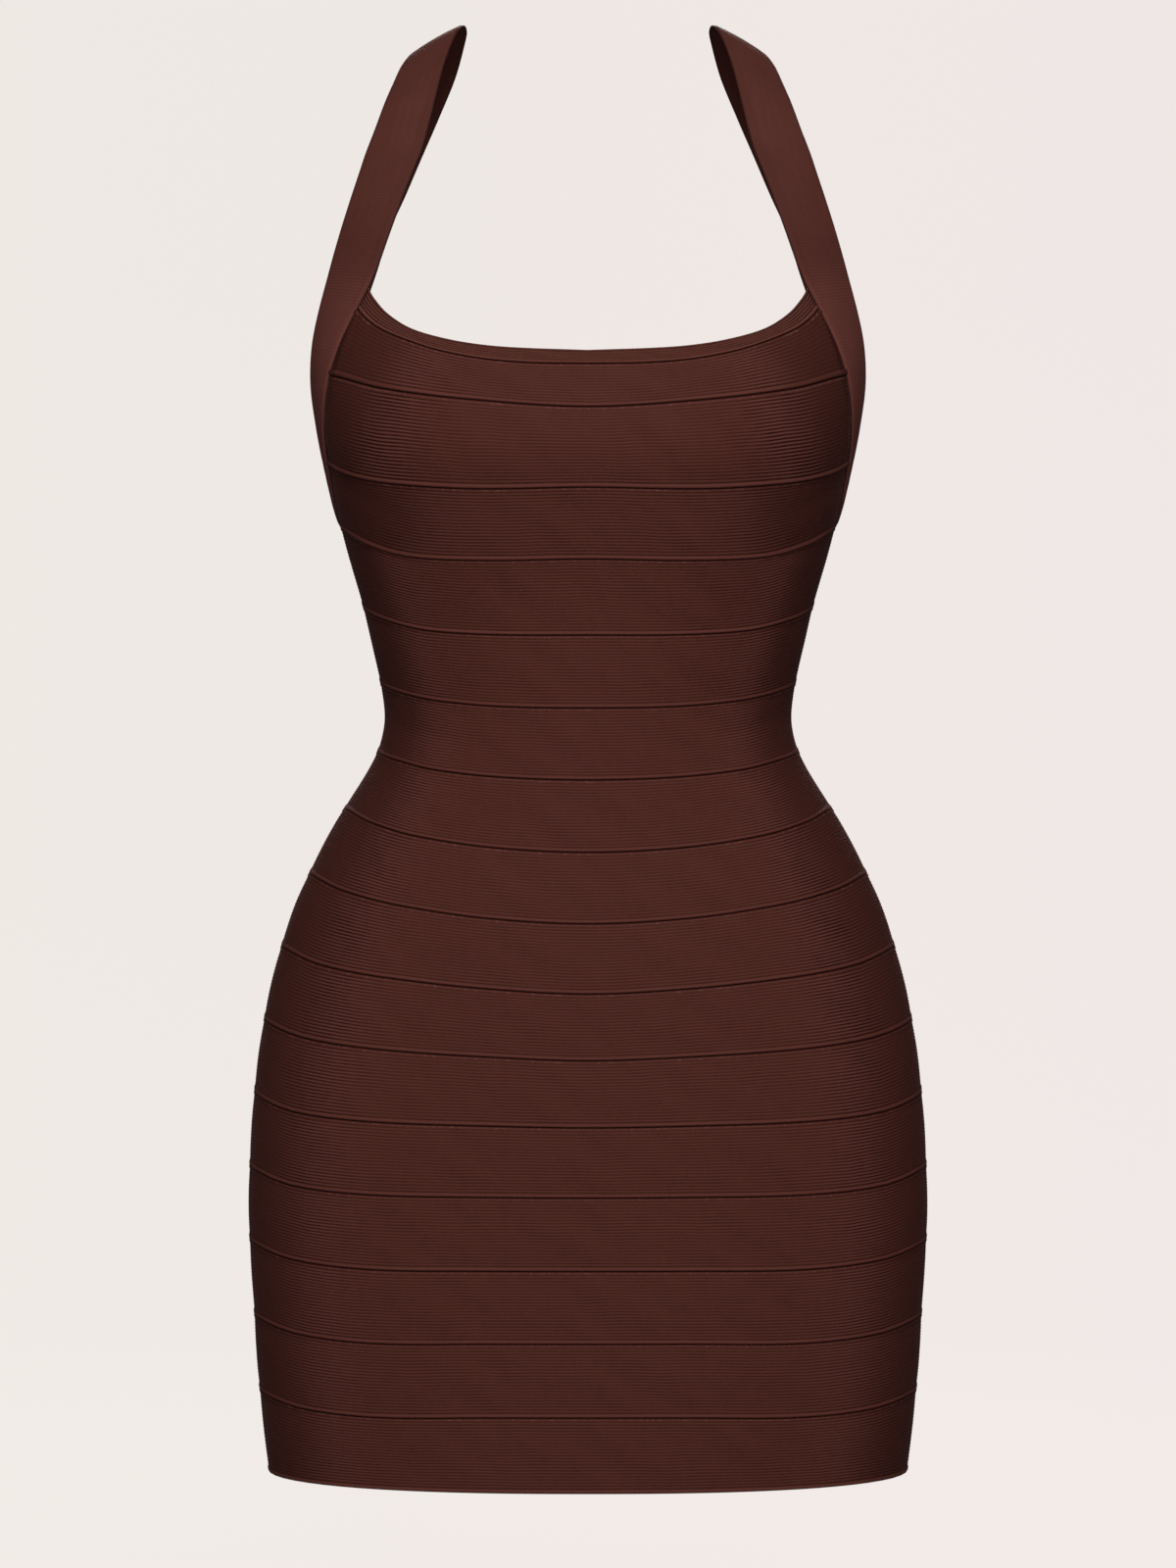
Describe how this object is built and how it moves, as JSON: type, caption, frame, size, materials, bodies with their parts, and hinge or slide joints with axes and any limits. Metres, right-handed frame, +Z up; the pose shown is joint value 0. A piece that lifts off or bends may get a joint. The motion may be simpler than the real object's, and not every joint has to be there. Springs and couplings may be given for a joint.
{
  "type": "bodycon dress",
  "caption": "Sleeveless bodycon mini dress of ribbed bandage-knit strips, with a scooped square neck and wide shoulder straps, filled out as worn and hollow.",
  "frame": {"origin": "midway between the two straps, level with their underside where they rest on the wearer's shoulders", "axes": "+X to the right as seen from the front, the front faces -Y, +Z up towards the shoulders"},
  "size_m": [0.3744, 0.2316, 0.796],
  "materials": {
    "bandage_knit": "matte ribbed knit",
    "neck_knit": "matte ribbed knit",
    "strap_knit": "matte fine-ribbed knit"
  },
  "bodies": {
    "root": {"front_strip_01": "bandage_knit", "front_strip_02": "bandage_knit", "front_strip_03": "bandage_knit", "front_strip_04": "bandage_knit", "front_strip_05": "bandage_knit", "front_strip_06": "bandage_knit", "front_strip_07": "bandage_knit", "front_strip_08": "bandage_knit", "front_strip_09": "bandage_knit", "front_strip_10": "bandage_knit", "front_strip_11": "bandage_knit", "front_strip_12": "bandage_knit", "front_strip_13": "bandage_knit", "front_strip_14": "bandage_knit", "front_strip_15": "bandage_knit", "front_strip_16": "bandage_knit", "back_strip_01": "bandage_knit", "back_strip_02": "bandage_knit", "back_strip_03": "bandage_knit", "back_strip_04": "bandage_knit", "back_strip_05": "bandage_knit", "back_strip_06": "bandage_knit", "back_strip_07": "bandage_knit", "back_strip_08": "bandage_knit", "back_strip_09": "bandage_knit", "back_strip_10": "bandage_knit", "back_strip_11": "bandage_knit", "back_strip_12": "bandage_knit", "back_strip_13": "bandage_knit", "back_strip_14": "bandage_knit", "back_strip_15": "bandage_knit", "back_strip_16": "bandage_knit", "front_neck_band": "neck_knit", "back_neck_band": "neck_knit", "strap_left": "strap_knit", "strap_right": "strap_knit"}
  },
  "joints": []
}
